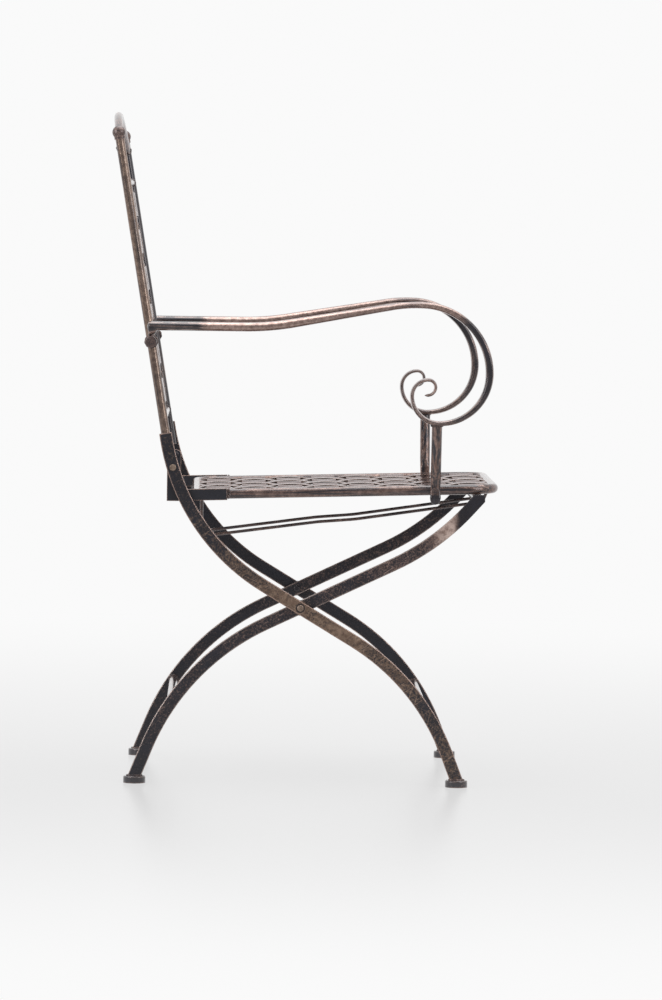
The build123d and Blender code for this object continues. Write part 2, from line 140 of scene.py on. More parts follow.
brushWork = {  # noises are (scale, detail, roughness) and a skew; hairlines are (turn about Y, length, width)
    "clouds": (15.0, 2.0, 0.5), "cloudSwing": 0.42,
    "grain": (430.0, 3.0, 0.65), "grainSwing": 0.6,
    "streaks": (1.0, 3.0, 0.6, 0.3), "streakSwing": 1.0,
    "hairlines": ((-34.0, 0.026, 0.0011), (-78.0, 0.018, 0.0012), (24.0, 0.022, 0.001)),
    "hairs": (1.0, 2.0, 0.5), "hairRange": (0.6, 0.72), "markCover": (-0.05, 0.6), "contrast": (0.12, 0.88),
    "flecks": (190.0, 4.0, 0.6, 0.2), "fleckRange": (0.64, 0.74),
}


def makeBronzeBrush():  # share of dry-brushed bronze: cover, swayed by clouds, grain, streaks and hairlines
    tree, given, taken = startGroup("bronzeBrush", [
        ("Place", "INPUT", "NodeSocketVector", None),
        ("Along", "INPUT", "NodeSocketVector", None),
        ("Cover", "INPUT", "NodeSocketFloat", 0.5),
        ("Streak", "INPUT", "NodeSocketFloat", 0.35),
        ("Stroke", "INPUT", "NodeSocketFloat", 0.5),
        ("Grain", "INPUT", "NodeSocketFloat", 1.0),
        ("Mask", "OUTPUT", "NodeSocketFloat", None),
        ("Strokes", "OUTPUT", "NodeSocketFloat", None),
        ("Flecks", "OUTPUT", "NodeSocketFloat", None),
    ])
    place = given.outputs["Place"]
    clouds = swing(tree, noiseAt(tree, place, *brushWork["clouds"]), brushWork["cloudSwing"])
    grain = swing(tree, noiseAt(tree, place, *brushWork["grain"]), brushWork["grainSwing"])
    grain = reckon(tree, "MULTIPLY", grain, given.outputs["Grain"])
    streaks = noiseAt(tree, given.outputs["Along"], *brushWork["streaks"])
    streaks = swing(tree, streaks, brushWork["streakSwing"])
    body = reckon(tree, "ADD", given.outputs["Cover"], clouds)
    body = reckon(tree, "ADD", body, grain)
    body = reckon(tree, "ADD", body, reckon(tree, "MULTIPLY", streaks, given.outputs["Streak"]))
    strokes = None
    for turn, length, width in brushWork["hairlines"]:
        drawn = alongBar(tree, place, (0.0, turn, 0.0), length, width)
        fine = spread(tree, noiseAt(tree, drawn, *brushWork["hairs"]), *brushWork["hairRange"])
        strokes = fine if strokes is None else reckon(tree, "MAXIMUM", strokes, fine)
    marks = reckon(tree, "MULTIPLY", strokes, given.outputs["Stroke"])
    marks = reckon(tree, "MULTIPLY", marks, spread(tree, given.outputs["Cover"], *brushWork["markCover"]))
    mask = spread(tree, reckon(tree, "ADD", body, marks), *brushWork["contrast"])
    flecks = spread(tree, noiseAt(tree, place, *brushWork["flecks"]), *brushWork["fleckRange"])
    tree.links.new(mask, taken.inputs["Mask"])
    tree.links.new(strokes, taken.inputs["Strokes"])
    tree.links.new(flecks, taken.inputs["Flecks"])
    return tree


skinWork = {  # noises are (scale, detail, roughness), each with its share of the height
    "hammer": (70.0, 2.0, 0.5), "hammerShare": 0.9, "peel": (620.0, 3.0, 0.6), "peelShare": 0.28,
    "strokeShare": 0.1, "pitScale": 330.0, "pitRange": (0.16, 0.05),
}


def makePaintSkin():  # height of the paint film: hammered waves, orange peel, brush ridges and a few pits
    tree, given, taken = startGroup("paintSkin", [
        ("Place", "INPUT", "NodeSocketVector", None),
        ("Strokes", "INPUT", "NodeSocketFloat", 0.0),
        ("Pits", "INPUT", "NodeSocketFloat", 0.4),
        ("Height", "OUTPUT", "NodeSocketFloat", None),
    ])
    place = given.outputs["Place"]
    hammer = reckon(tree, "MULTIPLY", noiseAt(tree, place, *skinWork["hammer"]), skinWork["hammerShare"])
    peel = reckon(tree, "MULTIPLY", noiseAt(tree, place, *skinWork["peel"]), skinWork["peelShare"])
    ridges = reckon(tree, "MULTIPLY", given.outputs["Strokes"], skinWork["strokeShare"])
    cells = {"Vector": place, "Scale": skinWork["pitScale"]}
    cells = putNode(tree, "ShaderNodeTexVoronoi", cells, feature="F1")
    pits = spread(tree, cells.outputs["Distance"], *skinWork["pitRange"])
    height = reckon(tree, "ADD", hammer, peel)
    height = reckon(tree, "ADD", height, ridges)
    height = reckon(tree, "SUBTRACT", height, reckon(tree, "MULTIPLY", pits, given.outputs["Pits"]))
    tree.links.new(height, taken.inputs["Height"])
    return tree


edgeRub = makeEdgeRub()
bronzeBrush = makeBronzeBrush()
paintSkin = makePaintSkin()
print("paint groups made")

armShape = {  # metres and degrees; runs are (radius, turn) or (length, 0), each with its thickness at the end
    "rear": -0.2255, "height": 0.655, "middle": 0.229, "halfWidth": 0.012,
    "straight": 0.138, "thickness": 0.013,
    "runs": (
        (0.394, 10.0, 0.013), (0.1455, 0.0, 0.0092), (0.203, -13.2, 0.0094),  # sweep, ramp and crown
        (0.097, -86.8, 0.0116), (0.071, -90.0, 0.0072), (0.039, -90.0, 0.0061), (0.023, -90.0, 0.0053),
        (0.0105, -90.0, 0.0049), (0.0115, -88.0, 0.0044), (0.0075, 0.0, 0.001),
    ),
    "powers": ((0.0, 2.2), (0.38, 2.2), (0.47, 3.6), (0.6, 3.4), (0.7, 2.3)),  # distance, squareness
    "tabLength": 0.012, "tabEnd": 0.0012, "tabRear": 0.00926, "tabFront": 0.0049,
    "endRound": 0.003, "leastRound": 0.004, "tipLength": 0.03, "tipShare": 0.45,
    "step": 0.0018, "fewest": 4, "around": 36, "turnSize": 0.006,  # turnSize: metres to a radian
}
ironWork = {  # noises are (scale, detail, roughness), ranges are what is stretched to 0..1
    "shade": (34.0, 3.0, 0.5), "shadeRange": (0.35, 0.7), "tone": (150.0, 4.0, 0.6), "toneRange": (0.3, 0.72),
    "worn": (60.0, 4.0, 0.6), "wornRange": (0.35, 0.6), "cornerRange": (-0.55, -0.97),
    # glintSide: across Y, where the right side begins, which takes the painted highlight near a bar's end
    "patch": (110.0, 4.0, 0.6), "patchRange": (0.3, 0.6), "glintSide": (0.05, -0.05), "endShare": 0.06,
    "ring": (0.0057, 0.0074), "rubMetal": 0.3, "bumpDepth": 0.0006, "coatRough": 0.1,
    "sheen": (240.0, 4.0, 0.6), "sheenRange": (0.25, 0.75), "smoother": 0.07, "rougher": 0.1,
    "brushRough": 0.06,
}


def coverOf(tree, look, place, along):  # bronze by distance or height, and little on a bar's inner side
    cover = look["cover"]
    if look["coverBy"]:
        source, stops = look["coverBy"]
        way = axesOf(tree, along)["X"] if source == "along" else axesOf(tree, place)["Z"]
        ramp = putNode(tree, "ShaderNodeValToRGB", {"Fac": way})
        while len(ramp.color_ramp.elements) < len(stops):
            ramp.color_ramp.elements.new(1.0)
        for stop, (spot, level) in zip(ramp.color_ramp.elements, stops):
            stop.position = spot
            stop.color = (level, level, level, 1)
        cover = ramp.outputs["Color"]
    if look["outerSide"]:
        across = reckon(tree, "ABSOLUTE", axesOf(tree, place)["Y"])
        outer = spread(tree, across, *look["outerSide"], look["innerShare"], 1.0)
        cover = reckon(tree, "MULTIPLY", cover, outer)
    return cover


def makeIron(name, look):  # near-black paint, bronze brushed over its outer side, copper where it is rubbed
    material = bpy.data.materials.new(name)
    tree = emptyTree(material)
    coords = tree.nodes.new("ShaderNodeTexCoord").outputs
    place, along = coords["Object"], coords["UV"]
    brush = putNode(tree, "ShaderNodeGroup", {
        "Place": place, "Along": alongBar(tree, along if look["followsPiece"] else place, *look["run"]),
        "Cover": coverOf(tree, look, place, along),
        "Streak": look["streak"], "Stroke": look["stroke"], "Grain": look["grain"],
    }, node_tree=bronzeBrush).outputs
    edge = putNode(tree, "ShaderNodeGroup", {
        "Place": place, "Width": look["edgeWidth"], "Break Up": look["breakUp"],
    }, node_tree=edgeRub).outputs
    skin = putNode(tree, "ShaderNodeGroup", {
        "Place": place, "Strokes": brush["Strokes"], "Pits": look["pits"],
    }, node_tree=paintSkin).outputs
    shade = spread(tree, noiseAt(tree, place, *ironWork["shade"]), *ironWork["shadeRange"])
    coat = blendTwo(tree, shade, (*look["black"], 1), (*look["blueBlack"], 1))
    tone = spread(tree, noiseAt(tree, place, *ironWork["tone"]), *ironWork["toneRange"])
    bronze = blendTwo(tree, tone, (*look["bronze"], 1), (*look["bronzeLight"], 1))
    share = brush["Mask"]
    rubbed = reckon(tree, "MULTIPLY", edge["Mask"], look["edgeShare"], True)
    if look["corners"]:  # rubbed along the four corners of a piece's own section, where cos(4 turn) = -1
        turn = axesOf(tree, along)["Y"]
        wave = reckon(tree, "COSINE", reckon(tree, "MULTIPLY", turn, 4.0 / armShape["turnSize"]))
        worn = noiseAt(tree, place, *ironWork["worn"])
        worn = spread(tree, worn, *ironWork["wornRange"], 0.0, look["corners"])
        corner = reckon(tree, "MULTIPLY", spread(tree, wave, *ironWork["cornerRange"]), worn)
        rubbed = reckon(tree, "MAXIMUM", rubbed, corner)
    scratchesAndGlint = reckon(tree, "MULTIPLY", brush["Strokes"], look["scratch"])
    if look["glintAndDarkEnd"]:  # a painted highlight on the right side just before a bar's end, and black at the end itself
        axis, rise, fall, extra = look["glintAndDarkEnd"]
        parts = axesOf(tree, place)
        dark = spread(tree, parts[axis], *fall, 1.0, ironWork["endShare"])
        right = spread(tree, parts["Y"], *ironWork["glintSide"])
        paintedGlint = reckon(tree, "MULTIPLY", spread(tree, parts[axis], *rise, 0.0, extra), right)
        paintedGlint = reckon(tree, "MULTIPLY", paintedGlint, dark)
        # the painted highlight is broken into patches, drawn in copper with the scratches, and adds to the
        # bronze share
        patchy = spread(tree, noiseAt(tree, place, *ironWork["patch"]), *ironWork["patchRange"])
        scratchesAndGlint = reckon(tree, "MAXIMUM", scratchesAndGlint, reckon(tree, "MULTIPLY", paintedGlint, patchy))
        share = reckon(tree, "MULTIPLY", reckon(tree, "ADD", share, paintedGlint, True), dark)
        rubbed = reckon(tree, "MULTIPLY", rubbed, dark)
    if look["rings"]:  # a dark ring around each rivet head, in the side view: paint filled into the gap, and a painted contact shadow
        flat = putNode(tree, "ShaderNodeVectorMath", {0: place, 1: (1, 0, 1)}, operation="MULTIPLY")
        for x, z in look["rings"]:
            reach = {0: flat.outputs["Vector"], 1: (x, 0, z)}
            away = putNode(tree, "ShaderNodeVectorMath", reach, operation="DISTANCE").outputs["Value"]
            share = reckon(tree, "MULTIPLY", share, spread(tree, away, *ironWork["ring"]))
    flecked = reckon(tree, "MULTIPLY", brush["Flecks"], look["flecks"], True)
    flecked = reckon(tree, "MULTIPLY", reckon(tree, "MAXIMUM", flecked, scratchesAndGlint), share, True)
    colour = blendTwo(tree, share, coat, bronze)
    colour = blendTwo(tree, flecked, colour, (*look["copper"], 1))
    colour = blendTwo(tree, rubbed, colour, (*look["copper"], 1))
    glossRange = (look["gloss"] - ironWork["smoother"], look["gloss"] + ironWork["rougher"])
    gloss = spread(tree, noiseAt(tree, place, *ironWork["sheen"]), *ironWork["sheenRange"], *glossRange)
    gloss = reckon(tree, "ADD", gloss, reckon(tree, "MULTIPLY", brush["Mask"], ironWork["brushRough"]))
    rubMetal = reckon(tree, "MULTIPLY", rubbed, ironWork["rubMetal"])
    metal = reckon(tree, "ADD", reckon(tree, "MULTIPLY", brush["Mask"], look["metalBrush"]), rubMetal, True)
    metal = reckon(tree, "ADD", metal, look["metalBase"], True)
    bump = putNode(tree, "ShaderNodeBump", {
        "Strength": look["bump"], "Distance": ironWork["bumpDepth"], "Height": skin["Height"],
        "Normal": edge["Rounded"],
    })
    shader = putNode(tree, "ShaderNodeBsdfPrincipled", {
        "Base Color": colour, "Roughness": gloss, "Metallic": metal, "Normal": bump.outputs["Normal"],
        "Specular IOR Level": look["shine"], "Specular Tint": (*look["sheen"], 1),
        "Coat Weight": look["coat"], "Coat Roughness": ironWork["coatRough"],
    })
    putNode(tree, "ShaderNodeOutputMaterial", {"Surface": shader.outputs["BSDF"]})
    return material


barTurns = {  # how each kind of bar lies, as turns of its streaks about X, Y and Z
    "level": (0.0, 0.0, 0.0), "seat": (0.0, -1.7, 0.0), "back": (0.0, -99.5, 0.0), "post": (0.0, -90.0, 0.0),
    "across": (0.0, 0.0, 90.0),
}
ironBase = {  # run: turn of the bar, then length and width of its streaks in metres
    "black": (0.0165, 0.0156, 0.0192), "blueBlack": (0.0192, 0.0194, 0.0265),
    "bronze": (0.155, 0.094, 0.076), "bronzeLight": (0.34, 0.228, 0.19), "copper": (0.62, 0.43, 0.36),
    "sheen": (1.0, 0.91, 0.93), "run": (barTurns["level"], 0.03, 0.004), "followsPiece": False,
    "cover": 0.5, "coverBy": None,  # coverBy: by distance along the piece, or by height, as (metres, share)
    "outerSide": None, "innerShare": 0.15,  # outerSide: from how far out to how far out, in metres
    "glintAndDarkEnd": None,  # axis, where the painted highlight rises, where the black end begins, and how strong the painted highlight is
    "rings": (), "corners": 0.0, "streak": 0.3, "stroke": 0.35, "scratch": 0.0, "grain": 1.0, "flecks": 0.5,
    "edgeWidth": 0.0018, "breakUp": 0.4, "edgeShare": 0.85, "bump": 0.16, "pits": 0.4,
    "gloss": 0.26, "shine": 0.5, "coat": 0.3, "metalBrush": 0.4, "metalBase": 0.0,
}
legSkin = {
    "edgeWidth": 0.0027, "breakUp": 0.3, "edgeShare": 1.0, "grain": 1.5, "scratch": 0.22, "streak": 0.15,
    "stroke": 0.6, "flecks": 0.25, "coat": 0.0, "sheen": (0.97, 0.96, 1.0),
}
smoothSkin = {"grain": 0.3, "bump": 0.06, "gloss": 0.13, "coat": 0.5, "metalBrush": 0.6, "stroke": 0.15}
stripSkin = {
    "bronze": (0.09, 0.062, 0.049), "bronzeLight": (0.185, 0.138, 0.113), "cover": 0.42, "edgeShare": 0.5,
    "edgeWidth": 0.0012, "gloss": 0.13, "bump": 0.05, "coat": 0.0, "metalBrush": 0.2, "metalBase": 0.8,
    "grain": 0.4, "sheen": (0.7, 0.58, 0.57),
}
backSkin = {**stripSkin, "sheen": (0.97, 0.9, 0.9), "gloss": 0.1}
finishes = {
    "frontBar": {
        **legSkin, "outerSide": (0.2095, 0.2145), "innerShare": 0.08,
        "bronze": (0.15, 0.095, 0.066), "bronzeLight": (0.31, 0.213, 0.152),
        "rings": ((-0.0024, 0.254), (-0.187, 0.453)),  # x and z of the leg pivot and the seat pivot
        "coverBy": ("height", (
            (0.0, 0.25), (0.1, 0.3), (0.165, 0.4), (0.21, 0.62), (0.26, 0.7), (0.315, 0.36), (0.36, 0.19),
            (0.42, 0.1),
        )),
    },
    "rearBar": {
        # copper: worn edges and flecks, and also the copper of the painted highlight near the top end
        **legSkin, "outerSide": (0.1985, 0.2015), "innerShare": 0.6, "copper": (0.64, 0.5, 0.44),
        "coverBy": ("height", ((0.0, 0.1), (0.15, 0.12), (0.25, 0.26), (0.36, 0.34))),
        # a painted highlight on the right side, below the leg's black top end
        "glintAndDarkEnd": ("X", (0.175, 0.206), (0.214, 0.226), 0.85),
    },
    "finialIron": {"cover": 0.42, "gloss": 0.24, "bump": 0.1},
    "uprightBar": {
        **smoothSkin, "outerSide": (0.199, 0.207), "innerShare": 0.12, "cover": 0.64, "streak": 0.9,
        "run": (barTurns["back"], 0.12, 0.003),
        "bronze": (0.165, 0.108, 0.082), "bronzeLight": (0.37, 0.262, 0.2),
    },
    "rimBar": {**smoothSkin, "cover": 0.48, "streak": 1.3, "run": (barTurns["seat"], 0.09, 0.003)},
    "crossBar": {**smoothSkin, "cover": 0.45, "streak": 0.9, "run": (barTurns["across"], 0.08, 0.003)},
    "postBar": {
        **smoothSkin, "grain": 0.2, "cover": 0.38, "streak": 1.9, "run": (barTurns["post"], 0.1, 0.0045),
        # a faint painted highlight on the right side above the tongue, black below it
        "glintAndDarkEnd": ("Z", (0.432, 0.424), (0.421, 0.416), 0.1),
    },
    "armIron": {
        **smoothSkin, "streak": 1.0, "run": (barTurns["level"], 0.09, 0.0024), "followsPiece": True,
        "corners": 0.55,
        "bronze": (0.245, 0.158, 0.131), "bronzeLight": (0.51, 0.37, 0.322),
        "coverBy": ("along", (
            (0.0, 0.05), (0.07, 0.14), (0.09, 0.88), (0.18, 0.85), (0.26, 0.68), (0.44, 0.66), (0.475, 0.1),
            (0.59, 0.18), (0.64, 0.42),
        )),
    },
    "longStrip": {**stripSkin, "run": (barTurns["seat"], 0.04, 0.003)},
    "crossStrip": {**stripSkin, "run": (barTurns["across"], 0.04, 0.003)},
    "backLong": {**backSkin, "run": (barTurns["back"], 0.04, 0.003)},
    "backCross": {**backSkin, "run": (barTurns["across"], 0.04, 0.003)},
    "bracketIron": {
        "cover": 0.0, "sheen": (0.95, 0.96, 1.0), "streak": 0.1, "stroke": 0.15, "flecks": 0.1, "gloss": 0.36,
        "coat": 0.0,
    },
    "rodIron": {
        "black": (0.034, 0.031, 0.035), "blueBlack": (0.04, 0.039, 0.046), "cover": 0.4, "edgeWidth": 0.0006,
        "gloss": 0.18,
    },
    "rivetIron": {
        "cover": 1.0, "outerSide": (0.205, 0.213), "innerShare": 0.05, "flecks": 0.0,
        "edgeWidth": 0.0014, "edgeShare": 1.0, "breakUp": 0.1, "copper": (0.012, 0.01, 0.011),  # dark edges: paint filled into the gap at the head's rim, and a painted contact shadow
        "bronze": (0.17, 0.12, 0.09), "bronzeLight": (0.34, 0.25, 0.19),
    },
    "weldIron": {"cover": 0.4, "streak": 0.0, "stroke": 0.0, "gloss": 0.3, "edgeWidth": 0.0006},
    "footPad": {
        # copper on the pad's edges: rubbed wear, and a painted highlight along its lower rim
        "cover": 0.08, "gloss": 0.14, "coat": 0.8, "bump": 0.08, "edgeWidth": 0.003, "edgeShare": 0.7,
        "breakUp": 0.8,
    },
}
irons = {name: makeIron(name, {**ironBase, **look}) for name, look in finishes.items()}
print("finishes made:", ", ".join(irons))

finishOf = (  # the start of a node's name and its finish
    ("front_leg", "frontBar"), ("rear_leg", "rearBar"), ("front_foot", "footPad"), ("rear_foot", "footPad"),
    ("seat_bracket", "bracketIron"), ("arm_pegs", "weldIron"), ("guide_rod", "rodIron"),
    ("arm_rail", "armIron"), ("arm_post", "postBar"),
    ("upright", "uprightBar"), ("finial", "finialIron"), ("seat_rim", "rimBar"),
    ("back_strip_upright", "backLong"), ("back_strip_cross", "backCross"),
    ("seat_strip_long", "longStrip"), ("seat_strip_cross", "crossStrip"),
    ("leg_pivot", "rivetIron"), ("seat_pivot", "rivetIron"), ("arm_rivets", "weldIron"), ("", "crossBar"),
)
for name, piece in nodes.items():
    finish = next(iron for start, iron in finishOf if name.startswith(start))
    piece.data.materials.clear()
    piece.data.materials.append(irons[finish])
print("finishes given to the nodes")


def addPiece(name, points, faces, body, finish, across=None):  # across: each point's place for streaks
    mesh = bpy.data.meshes.new(name)
    mesh.from_pydata(points.reshape(-1, 3).tolist(), [], faces)
    mesh.polygons.foreach_set("use_smooth", np.ones(len(faces), dtype=bool))
    if across is not None:
        corner = np.empty(len(mesh.loops), dtype=np.int32)
        mesh.loops.foreach_get("vertex_index", corner)
        layer = mesh.uv_layers.new(name="along")
        layer.data.foreach_set("uv", across.reshape(-1, 2)[corner].astype(np.float32).ravel())
    mesh.update()
    piece = bpy.data.objects.new(name, mesh)
    bpy.context.scene.collection.objects.link(piece)
    mesh.materials.append(irons[finish])
    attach(piece, body)
    return piece


def makeSkin(name, grid, across, body, finish, replaced):  # closed skin over points [station, around]
    stations, around = grid.shape[:2]
    row, col = np.meshgrid(np.arange(stations - 1), np.arange(around), indexing="ij")
    nextCol = (col + 1) % around
    above, below = row * around, (row + 1) * around
    quads = np.stack([above + col, above + nextCol, below + nextCol, below + col], -1)
    faces = quads.reshape(-1, 4).tolist()
    last = (stations - 1) * around
    faces += [list(range(around))[::-1], list(range(last, last + around))]  # its two ends
    piece = addPiece(name, grid, faces, body, finish, across)
    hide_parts(replaced)


def ovalSection(turns, power):  # superellipse |x|^p + |z|^p = 1, walked round by its angle
    cosines, sines = np.cos(turns), np.sin(turns)
    wide = np.sign(cosines) * np.abs(cosines) ** (2.0 / power)
    high = np.sign(sines) * np.abs(sines) ** (2.0 / power)
    return wide, high


def streakPlace(way, turns, turnSize):  # distance along a bar and round it, for every point of its grid
    return np.stack(np.broadcast_arrays(way[:, None], (turns * turnSize)[None, :]), -1)


def armCentre():  # straights and arcs end to end: place, heading, thickness and distance at each station
    places, headings, thick, lengths = [], [], [], []
    start = np.array([armShape["rear"], armShape["height"]])
    angle, gone, before = 0.0, 0.0, armShape["thickness"]
    for size, turn, after in ((armShape["straight"], 0.0, before),) + armShape["runs"]:
        turn = math.radians(turn)
        length = size if turn == 0.0 else abs(size * turn)
        way = np.linspace(0.0, length, max(armShape["fewest"], int(length / armShape["step"])))
        heading = angle + turn * way / length
        if turn == 0.0:
            line = start + way[:, None] * np.array([math.cos(angle), math.sin(angle)])
        else:  # an arc of radius r: r (sin a - sin a0, cos a0 - cos a)
            arc = np.stack([np.sin(heading) - math.sin(angle), math.cos(angle) - np.cos(heading)], -1)
            line = start + size * np.sign(turn) * arc
        places.append(line[:-1])
        headings.append(heading[:-1])
        lengths.append(gone + way[:-1])
        thick.append((before + (after - before) * way / length)[:-1])
        start, angle, gone, before = line[-1], heading[-1], gone + length, after
    return np.concatenate(places), np.concatenate(headings), np.concatenate(thick), np.concatenate(lengths)


def makeArm(side, sign):  # oval section carried along the line, with a tab at its rear and a drawn-out tip
    place, heading, thick, way = armCentre()
    left = way[-1] - way
    rounding = np.clip(np.minimum(way, left) / armShape["endRound"], armShape["leastRound"], 1.0)
    ends = np.sqrt(np.clip(1.0 - (1.0 - rounding) ** 2, 0.0, 1.0))  # a quarter circle at either end
    tabStops = [0.0, armShape["tabLength"], armShape["tabLength"] + armShape["tabEnd"]]
    tab = np.interp(way, tabStops, [armShape["tabRear"], armShape["tabFront"], 0.0], right=0.0)
    turns = np.linspace(0.0, 2.0 * math.pi, armShape["around"], endpoint=False)
    power = np.interp(way, *zip(*armShape["powers"]))
    wide, high = ovalSection(turns[None, :], power[:, None])
    narrow = np.interp(left, [0.0, armShape["tipLength"]], [armShape["tipShare"], 1.0])
    upper = (thick / 2.0)[:, None] * np.clip(high, 0.0, 1.0)
    lower = (thick / 2.0 + tab)[:, None] * np.clip(high, -1.0, 0.0)
    rise = (upper + lower) * ends[:, None]
    out = armShape["halfWidth"] * (narrow * ends)[:, None] * wide
    grid = np.stack([
        place[:, :1] - np.sin(heading)[:, None] * rise,
        sign * armShape["middle"] + out,
        place[:, 1:] + np.cos(heading)[:, None] * rise,
    ], -1)
    across = streakPlace(way, turns, armShape["turnSize"])
    name = f"armRail{side.title()}"
    makeSkin(name, grid, across, f"arm_{side}", "armIron", f"arm_rail_{side}")


postShape = {  # heights, half widths along the chair, half depths and squareness, foot to head
    "x": 0.1885, "inside": 0.204, "leanFrom": 0.441, "leanTo": 0.5195, "lean": 0.0172, "halfTongue": 0.0025,
    "height": (0.4041, 0.4052, 0.4085, 0.4135, 0.42, 0.425, 0.432, 0.442, 0.452, 0.5195),
    "wide": (0.0008, 0.0042, 0.0068, 0.0078, 0.0073, 0.0069, 0.0070, 0.0073, 0.0075, 0.0075),
    "deep": (0.0012, 0.0025, 0.0032, 0.0036, 0.0030, 0.0026, 0.0027, 0.0050, 0.0074, 0.0075),
    "power": (2.2, 2.4, 2.6, 2.8, 3.6, 4.0, 3.6, 2.6, 2.1, 2.0),
    "step": 0.0012, "around": 32, "turnSize": 0.0075,
}


def makePost(side, sign):  # section from a flat rounded tongue to a round bar, carried up a leaning line
    stops = postShape["height"]
    height = np.arange(stops[0], stops[-1], postShape["step"])
    wide, deep, power = (np.interp(height, stops, postShape[name]) for name in ("wide", "deep", "power"))
    leaning = postShape["leanTo"] - postShape["leanFrom"]
    climb = np.clip((height - postShape["leanFrom"]) / leaning, 0.0, 1.0)
    middle = postShape["inside"] + np.maximum(deep, postShape["halfTongue"]) + postShape["lean"] * climb
    turns = np.linspace(0.0, 2.0 * math.pi, postShape["around"], endpoint=False)
    shapeX, shapeY = ovalSection(turns[None, :], power[:, None])
    grid = np.stack([
        postShape["x"] + wide[:, None] * shapeX,
        sign * middle[:, None] + deep[:, None] * shapeY,
        np.broadcast_to(height[:, None], shapeX.shape),
    ], -1)
    across = streakPlace(height, turns, postShape["turnSize"])
    name = f"armPost{side.title()}"
    makeSkin(name, grid, across, f"arm_{side}", "postBar", f"arm_post_{side}")


for side, sign in (("right", -1.0), ("left", 1.0)):
    makeArm(side, sign)
    makePost(side, sign)
print("arms and posts forged")


welds = {  # millimetres: middle, two half axes of the loop, and the bead's radius, on the left side
    "back_frame": (
        ((175.7, 208.6, 112.0), (6.2, 0, 0), (0, 0, 6.2), 1.7),  # front stretcher
        ((-258.0, 196.4, 860.0), (5.2, 0, 0), (0, 0, 5.2), 1.4),  # upper rail of the back
        ((-201.4, 196.4, 521.7), (5.2, 0, 0), (0, 0, 5.2), 1.4),  # lower rail of the back
        ((-266.0, 196.6, 907.6), (6.1, 0, 1.0), (-0.5, -2.9, 5.3), 1.5),  # top arch
        ((-219.9, 208.6, 632.2), (8.3, 0, 0), (0, 0, 8.3), 1.6),  # arm peg
        ((224.0, 212.0, 10.2), (10.4, 0, 0), (0, 3.9, 0), 1.5),  # front foot
    ),
    "rear_leg_frame": (
        ((-186.2, 196.8, 115.0), (6.2, 0, 0), (0, 0, 6.2), 1.7),  # rear stretcher
        ((-237.0, 200.0, 10.2), (10.4, 0, 0), (0, 3.9, 0), 1.5),  # rear foot
    ),
    "seat": (
        ((-146.0, 63.0, 408.8), (2.4, 0, 0), (0, 2.4, 0), 1.1),  # rear end of a guide rod
        ((270.6, 63.0, 420.2), (2.2, 0, -1.0), (0, 2.4, 0), 1.1),  # front end of a guide rod
        ((-107.0, 204.4, 416.3), (1.4, 0, 0), (0, 0, 5.2), 2.6),  # bracket's end on the rim
    ),
    "arm_left": (((188.5, 228.6, 518.0), (7.9, 0, 0), (0, 7.9, 0), 1.4),),  # head of the post
}
bead = {"perMetre": 1000.0, "around": 40, "tube": 10, "ripple": 0.16, "lumps": 9.0, "shift": 900.0}


def makeWelds(body, loops, sides, finish):  # a rippled circle carried round each loop, mirrored
    rows = np.array([[*middle, *first, *second, size] for middle, first, second, size in loops])
    rows = rows / bead["perMetre"]
    rows = np.concatenate([rows * np.array([1, side, 1, 1, side, 1, 1, side, 1, 1]) for side in sides])
    around, tube = bead["around"], bead["tube"]
    turn = np.linspace(0.0, 2.0 * math.pi, around, endpoint=False)
    roll = np.linspace(0.0, 2.0 * math.pi, tube, endpoint=False)
    middle, first, second, size = rows[:, None, :3], rows[:, None, 3:6], rows[:, None, 6:9], rows[:, 9]
    path = middle + first * np.cos(turn)[None, :, None] + second * np.sin(turn)[None, :, None]
    outward = path - middle
    outward /= np.linalg.norm(outward, axis=-1, keepdims=True)
    axis = np.cross(first, second)
    axis = np.broadcast_to(axis / np.linalg.norm(axis, axis=-1, keepdims=True), outward.shape)
    ripple = np.sin(bead["lumps"] * turn[None, :] + rows[:, :1] * bead["shift"])
    swell = size[:, None] * (1.0 + bead["ripple"] * ripple)
    cosines, sines = np.cos(roll)[None, None, :, None], np.sin(roll)[None, None, :, None]
    ring = outward[:, :, None] * cosines + axis[:, :, None] * sines
    points = path[:, :, None] + swell[:, :, None, None] * ring
    loop, step, spot = np.meshgrid(np.arange(len(rows)), np.arange(around), np.arange(tube), indexing="ij")
    here = (loop * around + step) * tube
    ahead = (loop * around + (step + 1) % around) * tube
    nextSpot = (spot + 1) % tube
    quads = np.stack([here + spot, ahead + spot, ahead + nextSpot, here + nextSpot], -1)
    addPiece(f"welds_{body}", points, quads.reshape(-1, 4).tolist(), body, finish)


for body, loops in welds.items():
    makeWelds(body, loops, (1,) if body == "arm_left" else (-1, 1), "weldIron")
makeWelds("arm_right", welds["arm_left"], (-1,), "weldIron")
print("welds laid")


studio = {  # reflections see a dimmer room on the side of the camera; distances in metres along Y
    "backdrop": (0.955, 0.955, 0.955), "roomFront": (0.4, 0.4, 0.41), "frontFade": (0.0, -0.6),
    "worldLight": 0.55,
    "floorColour": (0.33, 0.327, 0.331), "floorGloss": 0.24, "floorShine": 0.35, "floorHalf": 40.0,
    "floorFar": (-0.6, 3.0), "floorNear": (-0.3, -2.3), "floorPale": 0.6,
}


def roomSeen(tree, toward):  # the room's colour, dimmer in front for reflections, and the rays that see it
    rays = tree.nodes.new("ShaderNodeLightPath").outputs
    front = reckon(tree, "MULTIPLY", toward, rays["Is Glossy Ray"])
    room = blendTwo(tree, front, (*studio["backdrop"], 1), (*studio["roomFront"], 1))
    seen = reckon(tree, "ADD", rays["Is Camera Ray"], rays["Is Glossy Ray"])
    seen = reckon(tree, "ADD", seen, rays["Is Transmission Ray"], True)
    return room, seen


